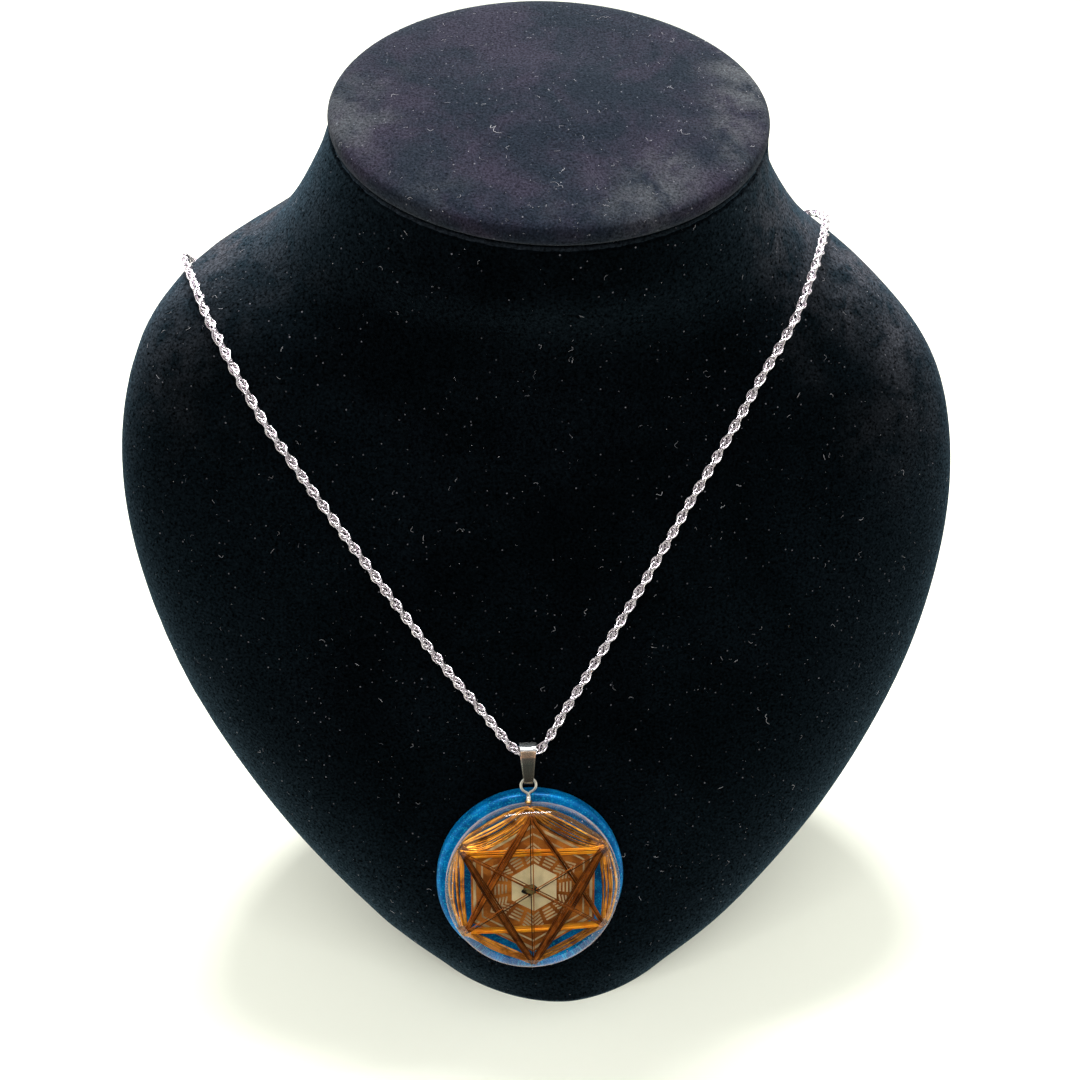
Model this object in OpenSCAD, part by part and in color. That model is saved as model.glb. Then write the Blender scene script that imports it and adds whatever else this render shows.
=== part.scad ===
// Round resin pendant with copper windings, on a steel rope chain over a velvet neck bust.
// The origin is the middle of the base, on the surface that the bust stands on.
// +Z is up and the bust faces -Y. Lengths are in millimetres and angles in degrees.

/* [Pendant] */
// Diameter of the blue resin back
disc_d = 50; // [49:0.5:51]
// Thickness of the blue resin back
disc_t = 4.8; // [4.2:0.1:4.9]
// Diameter of the clear resin front
front_d = 46; // [45.6:0.2:48]
// Thickness of the two resin layers together
pendant_t = 10.8; // [10.4:0.1:12]
// How far the pendant leans back from upright
pendant_lean = 21.5; // [21:0.1:22]
// Turn of the pendant to its left
pendant_yaw = -1.3; // [-2:0.1:0]
// Turn of the pendant in its own plane
pendant_roll = -1.8; // [-3:0.1:0]

/* [Windings and plate] */
// Radius to the corners that the copper bundles turn round
winding_r = 21.2; // [20:0.1:21.3]
// Width of a bundle of copper wire
bundle_w = 1.6; // [1:0.1:1.7]
// Width of the thin wires that cross in the middle
cross_w = 0.7; // [0.5:0.1:1]
// Radius to the corners of the patterned plate
plate_r = 18.3; // [16:0.1:18.6]
// Width of a raised line on the plate
line_w = 0.6; // [0.4:0.1:0.8]
// Radius to the corners of the pale middle of the plate
middle_r = 6.9; // [5:0.1:7.5]

/* [Bail and eye] */
// Thickness of the bail's steel strip
strip_t = 0.5; // [0.4:0.05:0.6]
// Width of the bail over the chain
bail_top_w = 4.5; // [4:0.1:4.6]
// Width of the bail at the eye
bail_low_w = 2.5; // [2:0.1:2.5]
// Radius of the eye to the middle of its wire
eye_r = 2; // [1.9:0.05:2.1]
// Diameter of the eye's wire
eye_wire_d = 0.8; // [0.7:0.05:0.85]

/* [Chain] */
// Diameter of the rope chain
chain_d = 2.6; // [2.4:0.1:2.8]
// Sides of the chain's tube
chain_sides = 8; // [8:2:12]

/* [Neck bust] */
// Points round each section of the bust
bust_sides = 56; // [40:4:64]
// Half the width of the oval board on the neck
cap_w = 54.5; // [53:0.5:56]
// Half the depth of the oval board on the neck
cap_depth = 46; // [45:0.5:47]
// Thickness of the padded board
cap_t = 6; // [5:0.5:8]

/* [Hidden] */

// Gap between pieces that lie against each other
gap = 0.1;

// Sections of the bust from its base to its neck. The columns are height, middle in Y, middle in X,
// slope up to the back, half width, depth in front of the middle, depth behind it and squareness.
bust_rows = [
    [0,     -27,   -1.8, 0,    48,    43.2, 60,   1.8],
    [14,    -23,   0,    0,    64.2,  44.3, 62,   2.06],
    [38,    -17,   1.4,  0,    85.6,  41,   64,   2.1],
    [70,    -7,    1.5,  0,    104.4, 38.5, 62,   2.1],
    [102,   2,     0.9,  3,    114,   35.1, 58,   2.1],
    [132,   9,     -0.3, 8,    115.5, 31.9, 56,   2.1],
    [158,   17,    -1.6, 14,   109.6, 32.2, 52,   2.1],
    [177,   22.8,  -4.3, 16.7, 94.8,  34,   52,   2.0],
    [190.2, 27.5,  -0.4, 18.4, 72.3,  40,   50,   2.0],
    [206.6, 24.7,  -0.5, 25.4, 58.7,  43,   44,   2.0],
    [217,   27.7,  0.8,  23,   54.9,  46.4, 46.4, 1.95]];
bust_steps = 4;

// Route of the chain's middle line, from the clasp round the neck, down to the pendant and back
chain_route = [
    [7, 67.9, 159.2], [22, 67.4, 160.4], [40, 65.4, 164.2], [55, 62.9, 169.2], [65.8, 60, 175],
    [72.4, 56.2, 181], [77, 48.4, 187.8], [78.4, 38, 190], [75.6, 27.6, 190.2], [70, 14.4, 187.2],
    [61.2, 0, 176.8], [51.8, -7.6, 164], [42.6, -14.2, 150], [33.4, -20.2, 136.5],
    [24.4, -26, 122.6], [14.8, -31.8, 108], [6.4, -36.8, 96], [-0.8, -41.2, 86], [-5.6, -44.3, 79.2],
    [-8.6, -45.9, 76.1], [-11.5, -46.1, 75.5], [-14.4, -45.8, 76.2], [-17.8, -43.8, 79.6],
    [-23.2, -40.3, 86.2], [-33.4, -34.2, 98.8], [-42.2, -28.8, 111], [-50.6, -23.6, 123.2],
    [-58.8, -18.2, 135], [-66.6, -12.8, 146.4], [-73.8, -7.3, 157.2], [-80.1, -0.6, 168.3],
    [-86.3, 9.6, 177.7], [-91, 22, 183.2], [-94.8, 34, 184.1], [-95.3, 45.8, 179.2], [-85.2, 53.8, 171.8],
    [-68, 60, 166.4], [-49, 64.2, 162.4], [-27, 66.9, 159.6], [-5.4, 67.9, 158.6]];
chain_steps = 2;

// Where the back of the pendant has its middle
pendant_at = [-11.6, -56.9, 41.2];
// The eye and the bail sit a little to the left of the pendant's middle
eye_x = -1;
eye_y = 28.3;
eye_z = disc_t + 1.1;
// Middles of the bail's two bends, in the pendant's own frame
bail_top = [eye_x, 36.1, 2.5];
bail_low = [eye_x, 29.65, eye_z + 0.25];
// Room inside the bends, round the chain and round the eye's wire
bail_top_room = 0.45;
bail_low_room = 0.25;
bail_top_r = chain_d/2 + bail_top_room + strip_t;
bail_low_r = eye_wire_d/2 + bail_low_room + strip_t;

// Heights of the layers in the clear resin, from the pendant's back
plate_z = 6;
plate_t = 1.1;
line_t = 0.25;
line_count = 5;
hexagon_z = 6.3;
hexagon_t = 1.2;
row_z = 7.6;
peak_z = 8.2;
valley_z = 8.7;
cross_z = 9.2;
bundle_t = 0.4;
cross_t = 0.35;
pocket_top = 9.7;
// The pocket's corners clear the round corners of the windings
pocket_room = 0.15;
pocket_r = winding_r + (bundle_w/2 + pocket_room)/sin(60);

// Middle of the clasp behind the neck
clasp_at = [0, 67.7, 158.8];
clasp_t = 2;

// Round rim of the neck: height over the last section and how far the outline is drawn in
neck_rim = [[0.8, 0.2], [1.3, 1]];
neck_rim_h = neck_rim[len(neck_rim) - 1][0];

// Edge of the padded board: height over the neck and how far the outline is drawn in
cap_edge = [[0.2, 2.4], [0.7, 0.9], [1.8, 0], [cap_t - 2, 0], [cap_t - 0.8, 0.7], [cap_t, 2.4],
            [cap_t + 0.5, 10], [cap_t + 0.8, 26]];

// Tilted blocks whose hull is the rough stone: corner in X, Y and Z, turn, length, width and height
stone_blocks = [
    [-1.2, -0.9, 0,   20,  2.4, 1.6, 0.9],
    [-2,   -0.5, 0.2, -15, 3.6, 1.3, 0.6],
    [-0.4, -0.7, 0.1, 40,  1.8, 1.2, 1.3]];
stone_x = -0.8;

steel = [0.75, 0.75, 0.77];
velvet = [0.07, 0.07, 0.1];
copper = [0.7, 0.38, 0.15];
bright_copper = [0.85, 0.45, 0.15];
dark_copper = [0.4, 0.22, 0.1];

// Catmull-Rom curve through four neighbours
function between(a, b, c, d, t) =
    0.5*(2*b + (c - a)*t + (2*a - 5*b + 4*c - d)*t*t + (3*b - a - 3*c + d)*t*t*t);

// A list with each stretch between its rows cut into equal steps along a smooth curve
function smoothed(rows, steps) =
    let (last = len(rows) - 1)
    [for (i = [0 : last]) for (k = [0 : i < last ? steps - 1 : 0])
        i == last ? rows[last] :
        between(i > 0 ? rows[i - 1] : 2*rows[0] - rows[1], rows[i], rows[i + 1],
                i + 1 < last ? rows[i + 2] : 2*rows[last] - rows[last - 1], k/steps)];

// Power of a number that keeps its sign
function signed_power(v, p) = sign(v)*pow(abs(v), p);

// Points round one section of the bust, seen from above and turned from +X to +Y
function section_ring(row, sides) = [for (i = [0 : sides - 1])
    let (a = 360*i/sides,
         depth = (sin(a) < 0 ? row[5] : row[6])*signed_power(sin(a), 2/row[7]))
    [row[2] + row[4]*signed_power(cos(a), 2/row[7]), row[1] + depth*cos(row[3]), row[0] + depth*sin(row[3])]];

// Closed skin over rings of points, with a flat face at each end
module skin(rings) {
    sides = len(rings[0]);
    count = len(rings);
    points = [for (ring = rings) for (p = ring) p];
    walls = [for (k = [0 : count - 2]) for (i = [0 : sides - 1])
        let (j = (i + 1)%sides)
        [k*sides + i, (k + 1)*sides + i, (k + 1)*sides + j, k*sides + j]];
    low = [for (i = [0 : sides - 1]) i];
    high = [for (i = [0 : sides - 1]) count*sides - 1 - i];
    polyhedron(points, concat(walls, [low, high]), convexity = 6);
}

// Turned slab with its lower and upper edges rounded
module turned_slab(r, h, low, high) {
    rotate_extrude($fn = 96) {
        translate([0, low]) square([r, h - low - high]);
        square([r - low, low + 0.01]);
        translate([0, h - high - 0.01]) square([r - high, high + 0.01]);
        translate([r - low, low]) circle(low, $fn = 48);
        translate([r - high, h - high]) circle(high, $fn = 48);
    }
}

// Six-sided prism with a corner at the top
module hexagon(r, h) {
    rotate([0, 0, 30]) cylinder(r = r, h = h, $fn = 6);
}

// Six-sided ring of width w with its outer corners at r
module hexagon_ring(r, w, h) {
    difference() {
        hexagon(r, h);
        translate([0, 0, -1]) hexagon(r - w/cos(30), h + 2);
    }
}

// Outline of a strip that is bent round two circles, the second one above the first
function strip_outline(low_r, top_r, apart) =
    let (a = acos((low_r - top_r)/apart), steps = 20)
    concat([for (k = [0 : steps]) let (t = a + (360 - 2*a)*k/steps) low_r*[cos(t), sin(t)]],
           [for (k = [0 : steps]) let (t = -a + 2*a*k/steps) [apart, 0] + top_r*[cos(t), sin(t)]]);

// Moves a piece from the pendant's own frame to its place on the bust
module on_pendant() {
    translate(pendant_at) rotate([90 - pendant_lean, 0, 0]) rotate([0, pendant_yaw, 0])
        rotate([0, 0, pendant_roll]) children();
}

// Corner of the windings at an angle
function corner(a) = winding_r*[cos(a), sin(a)];

// Flat bundle of wires between two corners
module bundle(from_a, to_a, width, height) {
    p = corner(from_a);
    q = corner(to_a);
    translate(p) rotate([0, 0, atan2(q[1] - p[1], q[0] - p[0])])
        translate([0, -width/2, 0]) cube([norm(q - p), width, height]);
    for (end = [p, q]) translate(end) cylinder(d = width, h = height, $fn = 32);
}

// Row of wires straight across, cut to the windings' outline
module winding_row(side) {
    color(bright_copper) on_pendant() translate([0, 0, row_z]) intersection() {
        translate([-winding_r, side*(winding_r/2 + bundle_w/2) - bundle_w/2, 0])
            cube([2*winding_r, bundle_w, bundle_t]);
        hexagon(pocket_r - pocket_room, bundle_t);
    }
}

// Section over the last one of the bust, at a height square to it and with half width w and half depth d
function over_neck(h, w, d) =
    let (top = bust_rows[len(bust_rows) - 1], slope = top[3])
    section_ring([top[0] + h*cos(slope), top[1] - h*sin(slope), top[2], slope, w, d, d, top[7]], bust_sides);

module bust() {
    top = bust_rows[len(bust_rows) - 1];
    color(velvet) skin(concat(
        [for (row = smoothed(bust_rows, bust_steps)) section_ring(row, bust_sides)],
        [for (e = neck_rim) over_neck(e[0], top[4] - e[1], top[5] - e[1])]));
}

module neck_cap() {
    color([0.13, 0.12, 0.16]) skin([for (e = cap_edge)
        over_neck(neck_rim_h + e[0], cap_w - e[1], cap_depth - e[1])]);
}

module rope_chain() {
    path = smoothed(chain_route, chain_steps);
    last = len(path) - 1;
    rings = [for (i = [0 : last])
        let (way = path[min(i + 1, last)] - path[max(i - 1, 0)],
             along = way/norm(way),
             // Sideways is taken against a level line that points away from the neck
             out = [path[i][0], path[i][1] - 10, 0],
             side = cross(along, out)/norm(cross(along, out)),
             up = cross(along, side))
        [for (k = [0 : chain_sides - 1])
            let (a = 360*k/chain_sides)
            path[i] + chain_d/2*(cos(a)*side + sin(a)*up)]];
    color(steel) skin(rings);
}

module clasp() {
    wide_r = 2.4;
    narrow_r = 1.3;
    body_l = 5.4;
    hole_wide_r = 1.4;
    hole_narrow_r = 0.5;
    hole_l = 3.2;
    body_x = -2.6;
    ring_r = 1.4;
    ring_hole_r = 0.6;
    ring_x = 5;
    color(steel) translate(clasp_at) rotate([90, 0, 0]) difference() {
        union() {
            translate([body_x, 0, -clasp_t/2]) linear_extrude(clasp_t)
                polygon(strip_outline(wide_r, narrow_r, body_l));
            translate([ring_x, 0, -clasp_t/2]) cylinder(r = ring_r, h = clasp_t, $fn = 32);
        }
        translate([body_x, 0, -clasp_t]) linear_extrude(2*clasp_t)
            polygon(strip_outline(hole_wide_r, hole_narrow_r, hole_l));
        translate([ring_x, 0, -clasp_t]) cylinder(r = ring_hole_r, h = 2*clasp_t, $fn = 32);
    }
}

module bail() {
    rise = bail_top - bail_low;
    apart = norm(rise);
    color([0.6, 0.6, 0.62]) on_pendant() translate(bail_low) rotate([atan2(rise[2], rise[1]), 0, 0])
        intersection() {
            rotate([90, 0, 90]) difference() {
                linear_extrude(bail_top_w, center = true)
                    polygon(strip_outline(bail_low_r, bail_top_r, apart));
                linear_extrude(2*bail_top_w, center = true)
                    polygon(strip_outline(bail_low_r - strip_t, bail_top_r - strip_t, apart));
            }
            linear_extrude(4*bail_top_r, center = true) polygon([
                [-bail_low_w/2, -bail_low_r - 0.01], [bail_low_w/2, -bail_low_r - 0.01],
                [bail_top_w/2, apart + bail_top_r], [-bail_top_w/2, apart + bail_top_r]]);
        }
}

module eye_pin() {
    shank_r = 0.65;
    collar_r = 1;
    collar_h = 0.8;
    collar_gap = 0.2;
    // Where the shank leaves the round edge of the clear resin
    edge_y = sqrt(pow(front_d/2, 2) - pow(eye_x, 2));
    color([0.78, 0.76, 0.72]) on_pendant() translate([eye_x, 0, eye_z]) {
        translate([0, eye_y, 0]) rotate_extrude($fn = 64)
            translate([eye_r, 0]) circle(d = eye_wire_d, $fn = 32);
        translate([0, pocket_r, 0]) rotate([-90, 0, 0])
            cylinder(r = shank_r, h = eye_y - eye_r - pocket_r, $fn = 32);
        translate([0, edge_y + collar_gap, 0]) rotate([-90, 0, 0])
            cylinder(r = collar_r, h = collar_h, $fn = 32);
    }
}

module resin_back() {
    low_round = 1.2;
    high_round = 1.6;
    color([0.05, 0.35, 0.65]) on_pendant() turned_slab(disc_d/2, disc_t, low_round, high_round);
}

module resin_front() {
    low_z = disc_t + gap;
    low_round = 0.3;
    high_round = 2;
    notch_w = 1.6;
    notch_l = 3;
    color([0.85, 0.9, 0.92, 0.4]) on_pendant() difference() {
        translate([0, 0, low_z]) turned_slab(front_d/2, pendant_t - low_z, low_round, high_round);
        hexagon(pocket_r, pocket_top);
        // The eye's shank comes in through a notch that is open to the back
        translate([eye_x - notch_w/2, pocket_r - 1, 0]) cube([notch_w, notch_l, eye_z + notch_w/2]);
    }
}

module pattern_plate() {
    color([0.5, 0.34, 0.2]) on_pendant() translate([0, 0, plate_z]) {
        hexagon(plate_r, plate_t);
        for (k = [0 : line_count - 1])
            hexagon_ring(plate_r - (plate_r - middle_r)*k/line_count, line_w, plate_t + line_t);
        hexagon(middle_r, plate_t + line_t);
    }
}

module winding_hexagon() {
    color(copper) on_pendant() translate([0, 0, hexagon_z])
        hexagon_ring(winding_r + bundle_w/2/cos(30), bundle_w, hexagon_t);
}

module winding_row_top() {
    winding_row(1);
}

module winding_row_bottom() {
    winding_row(-1);
}

module winding_peak() {
    color(dark_copper) on_pendant() translate([0, 0, peak_z])
        for (a = [210, 330]) bundle(90, a, bundle_w, bundle_t);
}

module winding_valley() {
    color(dark_copper) on_pendant() translate([0, 0, valley_z])
        for (a = [30, 150]) bundle(270, a, bundle_w, bundle_t);
}

module cross_wires() {
    color(dark_copper) on_pendant() translate([0, 0, cross_z])
        for (a = [30, 90, 150]) bundle(a, a + 180, cross_w, cross_t);
}

module centre_stone() {
    low_z = plate_z + plate_t + line_t + gap;
    color([0.25, 0.26, 0.14]) on_pendant() translate([stone_x, 0, low_z]) hull()
        for (b = stone_blocks)
            translate([b[0], b[1], b[2]]) rotate([0, 0, b[3]]) cube([b[4], b[5], b[6]]);
}

bust();
neck_cap();
rope_chain();
clasp();
bail();
eye_pin();
resin_back();
resin_front();
pattern_plate();
winding_hexagon();
winding_row_top();
winding_row_bottom();
winding_peak();
winding_valley();
cross_wires();
centre_stone();
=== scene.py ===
import random
from math import acos, atan2, cos, exp, hypot, pi, radians, sin, tan, tau

import bmesh
import bpy
import numpy as np
from mathutils import Matrix, Vector, noise


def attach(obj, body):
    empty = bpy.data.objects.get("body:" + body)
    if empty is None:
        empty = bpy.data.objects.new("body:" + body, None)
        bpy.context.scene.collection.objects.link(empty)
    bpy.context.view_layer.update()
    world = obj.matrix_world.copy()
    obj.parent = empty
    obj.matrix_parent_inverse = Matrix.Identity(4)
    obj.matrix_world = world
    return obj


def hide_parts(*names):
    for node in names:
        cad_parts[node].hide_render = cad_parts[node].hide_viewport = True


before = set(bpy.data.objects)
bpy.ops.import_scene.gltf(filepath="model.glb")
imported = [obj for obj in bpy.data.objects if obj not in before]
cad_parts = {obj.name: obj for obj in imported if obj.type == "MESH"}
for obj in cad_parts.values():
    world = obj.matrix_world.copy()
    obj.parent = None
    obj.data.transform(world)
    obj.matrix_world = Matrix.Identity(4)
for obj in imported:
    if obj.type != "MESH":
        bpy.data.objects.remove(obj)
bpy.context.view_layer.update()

scene = bpy.context.scene
mm = 0.001


# helpers for meshes

def addObject(name, data):
    made = bpy.data.objects.new(name, data)
    scene.collection.objects.link(made)
    return made


def finishMesh(name, bm, place=None, smooth=35):
    # turns a bmesh into a mesh object at the origin; edges past the smooth angle stay sharp
    bmesh.ops.recalc_face_normals(bm, faces=bm.faces)
    mesh = bpy.data.meshes.new(name)
    bm.to_mesh(mesh)
    bm.free()
    if place:
        mesh.transform(place)
    mesh.shade_smooth()
    if smooth:
        mesh.set_sharp_from_angle(angle=radians(smooth))
    return addObject(name, mesh)


def dress(piece, material, slot, *nodes):
    # gives a piece its material, hangs it under the root and hides the parts of the frame that it stands in
    # for
    piece.data.materials.append(material)
    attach(piece, "root")
    if nodes:
        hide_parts(*nodes)
    return piece


def moved(by):
    return Matrix.Translation(by)


def turned(degrees, axis):
    return Matrix.Rotation(radians(degrees), 4, axis)


def aimed(way, axis="Z"):
    # a turn that brings the axis into the given direction
    return way.to_track_quat(axis, "Y").to_matrix().to_4x4()


def vertsIn(geom):
    return [g for g in geom if isinstance(g, bmesh.types.BMVert)]


def edgesIn(geom):
    return [g for g in geom if isinstance(g, bmesh.types.BMEdge)]


def ringEdges(verts):
    inside = set(verts)
    return list({e for v in verts for e in v.link_edges if e.other_vert(v) in inside})


def sweepWire(bm, points, radius, sides):
    # a round wire along the points, closed at both ends
    points = [Vector(p) for p in points]
    along = (points[1] - points[0]).normalized()
    start = moved(points[0]) @ aimed(along)
    ring = bmesh.ops.create_circle(bm, cap_ends=True, segments=sides, radius=radius, matrix=start)["verts"]
    edges = ringEdges(ring)
    for k in range(1, len(points)):
        way = (points[min(k + 1, len(points) - 1)] - points[k - 1]).normalized()
        turn = along.rotation_difference(way)
        made = bmesh.ops.extrude_edge_only(bm, edges=edges)["geom"]
        edges = edgesIn(made)
        for v in vertsIn(made):
            v.co = points[k] + turn @ (v.co - points[k - 1])
        along = way
    bmesh.ops.edgeloop_fill(bm, edges=edges)


def spinRound(bm, geom, steps):
    bmesh.ops.spin(bm, geom=geom, cent=(0, 0, 0), axis=(0, 0, 1), angle=tau, steps=steps, use_merge=True)


def wireRing(radius, wireRadius, segments, sides):
    # a closed round ring of wire in its own XY plane
    bm = bmesh.new()
    upright = moved((radius, 0, 0)) @ turned(90, "X")
    ring = bmesh.ops.create_circle(bm, segments=sides, radius=wireRadius, matrix=upright)["verts"]
    spinRound(bm, ring + ringEdges(ring), segments)
    bmesh.ops.recalc_face_normals(bm, faces=bm.faces)
    return bm


def spinProfile(profile, steps):
    # turns a list of (radius, height) points round Z, from axis to axis
    bm = bmesh.new()
    chain = [bm.verts.new((r, 0, z)) for r, z in profile]
    edges = [bm.edges.new(pair) for pair in zip(chain, chain[1:])]
    spinRound(bm, chain + edges, steps)
    bmesh.ops.remove_doubles(bm, verts=bm.verts, dist=1e-5)
    return bm


def roundCorner(x, y, wide, high, fromAngle, steps):
    # a quarter of an oval round x, y in a (radius, height) profile
    angles = [radians(fromAngle + 90 * k / steps) for k in range(steps + 1)]
    return [(x + wide * cos(a), y + high * sin(a)) for a in angles]


def bevelEdges(bm, edges, offset, segments):
    bmesh.ops.bevel(bm, geom=edges, offset=offset, affect="EDGES", segments=segments, profile=0.5,
                    material=-1, clamp_overlap=True)


def edgesOver(bm, degrees):
    return [e for e in bm.edges if e.calc_face_angle(0) > radians(degrees)]


def raiseFaces(bm, faces, height):
    up = bmesh.ops.extrude_face_region(bm, geom=faces, use_keep_orig=True)["geom"]
    bmesh.ops.translate(bm, verts=vertsIn(up), vec=(0, 0, height))


def cutThrough(bm, point, normal, **clear):
    # cuts the whole mesh along a plane and gives what lies on the cut
    everything = bm.verts[:] + bm.edges[:] + bm.faces[:]
    return bmesh.ops.bisect_plane(bm, geom=everything, plane_co=point, plane_no=normal, **clear)["geom_cut"]


def joinCopies(name, shapes, copies):
    # one mesh of many placed copies; each copy is (number of its shape, matrix)
    parts = []
    for bm in shapes:
        bm.verts.index_update()
        parts.append((np.array([v.co for v in bm.verts]), [[v.index for v in f.verts] for f in bm.faces]))
        bm.free()
    points, faces, count = [], [], 0
    for number, matrix in copies:
        co, shapeFaces = parts[number]
        m = np.array(matrix)
        points.append(co @ m[:3, :3].T + m[:3, 3])
        faces.extend([i + count for i in f] for f in shapeFaces)
        count += len(co)
    mesh = bpy.data.meshes.new(name)
    mesh.from_pydata(np.concatenate(points), [], faces)
    mesh.shade_smooth()
    return addObject(name, mesh)


def between(a, b, c, d, t):
    # Catmull-Rom curve through four neighbours
    return 0.5 * (2 * b + (c - a) * t + (2 * a - 5 * b + 4 * c - d) * t * t
                  + (3 * b - a - 3 * c + d) * t ** 3)


# helpers for materials

def setInputs(node, values):
    # each value is a plain one, or another node's socket to link in
    for socket, value in values.items():
        if isinstance(value, bpy.types.NodeSocket):
            node.id_data.links.new(value, node.inputs[socket])
        else:
            node.inputs[socket].default_value = value


def newFinish(name, plain):
    material = bpy.data.materials.new(name)
    material.use_nodes = True
    tree = material.node_tree
    shader = tree.nodes["Principled BSDF"]
    setInputs(shader, plain)
    return material, tree, shader


def addNode(tree, kind, values, **settings):
    node = tree.nodes.new("ShaderNode" + kind)
    for key, value in settings.items():
        setattr(node, key, value)
    setInputs(node, values)
    return node


def calculate(tree, operation, *values):
    # a Math node on sockets or numbers; gives its result's socket
    return addNode(tree, "Math", dict(enumerate(values)), operation=operation).outputs[0]


def mixColours(tree, factor, first, second):
    # first and second are colours or sockets; gives the mixed colour's socket
    first, second = ((*c, 1) if isinstance(c, tuple) else c for c in (first, second))
    return addNode(tree, "Mix", {0: factor, 6: first, 7: second}, data_type="RGBA").outputs[2]


def mixShaders(tree, *sockets):
    # factor, first and second shader
    return addNode(tree, "MixShader", dict(enumerate(sockets))).outputs[0]


def tinted(tree, colour, shade):
    # a colour socket made lighter and darker by a shade round 1
    return addNode(tree, "VectorMath", {0: colour, "Scale": shade}, operation="SCALE").outputs[0]


def rampColour(tree, factor, tones):
    # blends between (share, colour) pairs
    node = addNode(tree, "ValToRGB", {"Fac": factor})
    stops = node.color_ramp.elements
    stops.remove(stops[1])
    stops[0].color = (*tones[0][1], 1)
    for at, tone in tones[1:]:
        stops.new(at).color = (*tone, 1)
    return node.outputs["Color"]


def attributeOf(tree, name):
    return addNode(tree, "Attribute", {}, attribute_name=name).outputs["Fac"]


def grazing(tree, power):
    # near 0 where a surface is seen straight on, 1 at its outline
    facing = addNode(tree, "LayerWeight", {"Blend": 0.5}).outputs["Facing"]
    return calculate(tree, "POWER", facing, power)


def newGroup(name, inputs, outputs):
    # a node group that reads a place and the numbers named
    group = bpy.data.node_groups.new(name, "ShaderNodeTree")
    group.interface.new_socket("Place", in_out="INPUT", socket_type="NodeSocketVector")
    for label in inputs:
        group.interface.new_socket(label, in_out="INPUT", socket_type="NodeSocketFloat")
    for label, kind in outputs.items():
        group.interface.new_socket(label, in_out="OUTPUT", socket_type="NodeSocket" + kind)
    return group, group.nodes.new("NodeGroupInput").outputs, group.nodes.new("NodeGroupOutput")


def placeGroup(tree, group, values):
    # the group's outputs, read at the piece's own Object coordinates
    place = addNode(tree, "TexCoord", {}).outputs["Object"]
    return addNode(tree, "Group", {"Place": place, **values}, node_tree=group).outputs


def placeTexture(group, given, kind, values):
    # a texture node inside a group, fed by the group's place and scale
    return addNode(group, kind, {"Vector": given["Place"], "Scale": given["Scale"], **values}).outputs


def makeClouds():
    # soft patches from 0 to 1
    group, given, out = newGroup("clouds", ("Scale", "Low", "High"), {"Mask": "Float"})
    soft = {"Detail": 4.0, "Roughness": 0.6, "Distortion": 0.4}
    coarse = placeTexture(group, given, "TexNoise", soft)["Fac"]
    limits = {"Value": coarse, "From Min": given["Low"], "From Max": given["High"]}
    spread = addNode(group, "MapRange", limits, interpolation_type="SMOOTHSTEP")
    setInputs(out, {"Mask": spread.outputs["Result"]})
    return group


def makeGrain():
    # fine grain: a shade round 1 and a bumped normal
    group, given, out = newGroup("grain", ("Scale", "Contrast", "Height"),
                                 {"Shade": "Float", "Normal": "Vector"})
    fine = placeTexture(group, given, "TexNoise", {"Detail": 2.0, "Roughness": 0.7})["Fac"]
    bump = addNode(group, "Bump", {"Strength": 1.0, "Height": fine, "Distance": given["Height"]})
    centred = calculate(group, "SUBTRACT", fine, 0.5)
    setInputs(out, {"Shade": calculate(group, "MULTIPLY_ADD", centred, given["Contrast"], 1.0),
                    "Normal": bump.outputs["Normal"]})
    return group


def makeSpecks():
    # small scattered spots; Share is how many of the cells hold one
    group, given, out = newGroup("specks", ("Scale", "Size", "Share"), {"Mask": "Float"})
    cells = placeTexture(group, given, "TexVoronoi", {"Randomness": 1.0})
    tone = addNode(group, "SeparateColor", {"Color": cells["Color"]}).outputs
    near = calculate(group, "LESS_THAN", cells["Distance"], given["Size"])
    chosen = calculate(group, "LESS_THAN", tone["Red"], given["Share"])
    both = calculate(group, "MULTIPLY", near, chosen)
    setInputs(out, {"Mask": calculate(group, "MULTIPLY", both, tone["Green"])})
    return group


clouds = makeClouds()
grain = makeGrain()
specks = makeSpecks()


def patchyFinish(name, plain, first, second, patches, marks=None):
    # two colours in soft patches, with a fine grain in colour and bump where marks are given
    material, tree, shader = newFinish(name, plain)
    colour = mixColours(tree, placeGroup(tree, clouds, patches)["Mask"], first, second)
    if marks:
        fine = placeGroup(tree, grain, marks)
        colour = tinted(tree, colour, fine["Shade"])
        setInputs(shader, {"Normal": fine["Normal"]})
    setInputs(shader, {"Base Color": colour})
    return material


def steelFinish(name, colour, roughness, dark, scale, scratch, finer=12):
    return patchyFinish(name, {"Metallic": 1.0, "Roughness": roughness}, colour, dark,
                        {"Scale": scale, "Low": 0.35, "High": 0.7},
                        {"Scale": scale * finer, "Contrast": 0.25, "Height": scratch})


# camera

cameraSetup = {
    "at": (-0.0303, -0.2519, 0.2821), "heading": -6.0, "down": 33.86, "roll": 0.44, "sensor": 36.0,
    "lens": 36.1, "nearest": 0.01}


def makeCamera(s):
    data = bpy.data.cameras.new("camera")
    data.sensor_width = s["sensor"]
    data.lens = s["lens"]
    data.clip_start = s["nearest"]
    scene.camera = addObject("camera", data)
    level = moved(s["at"]) @ turned(s["heading"], "Z")
    scene.camera.matrix_world = level @ turned(90 - s["down"], "X") @ turned(s["roll"], "Z")


makeCamera(cameraSetup)
print("camera set")


# neck bust and its padded board

# the edge power shapes the painted sheen that lightens the velvet towards its outline
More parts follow.
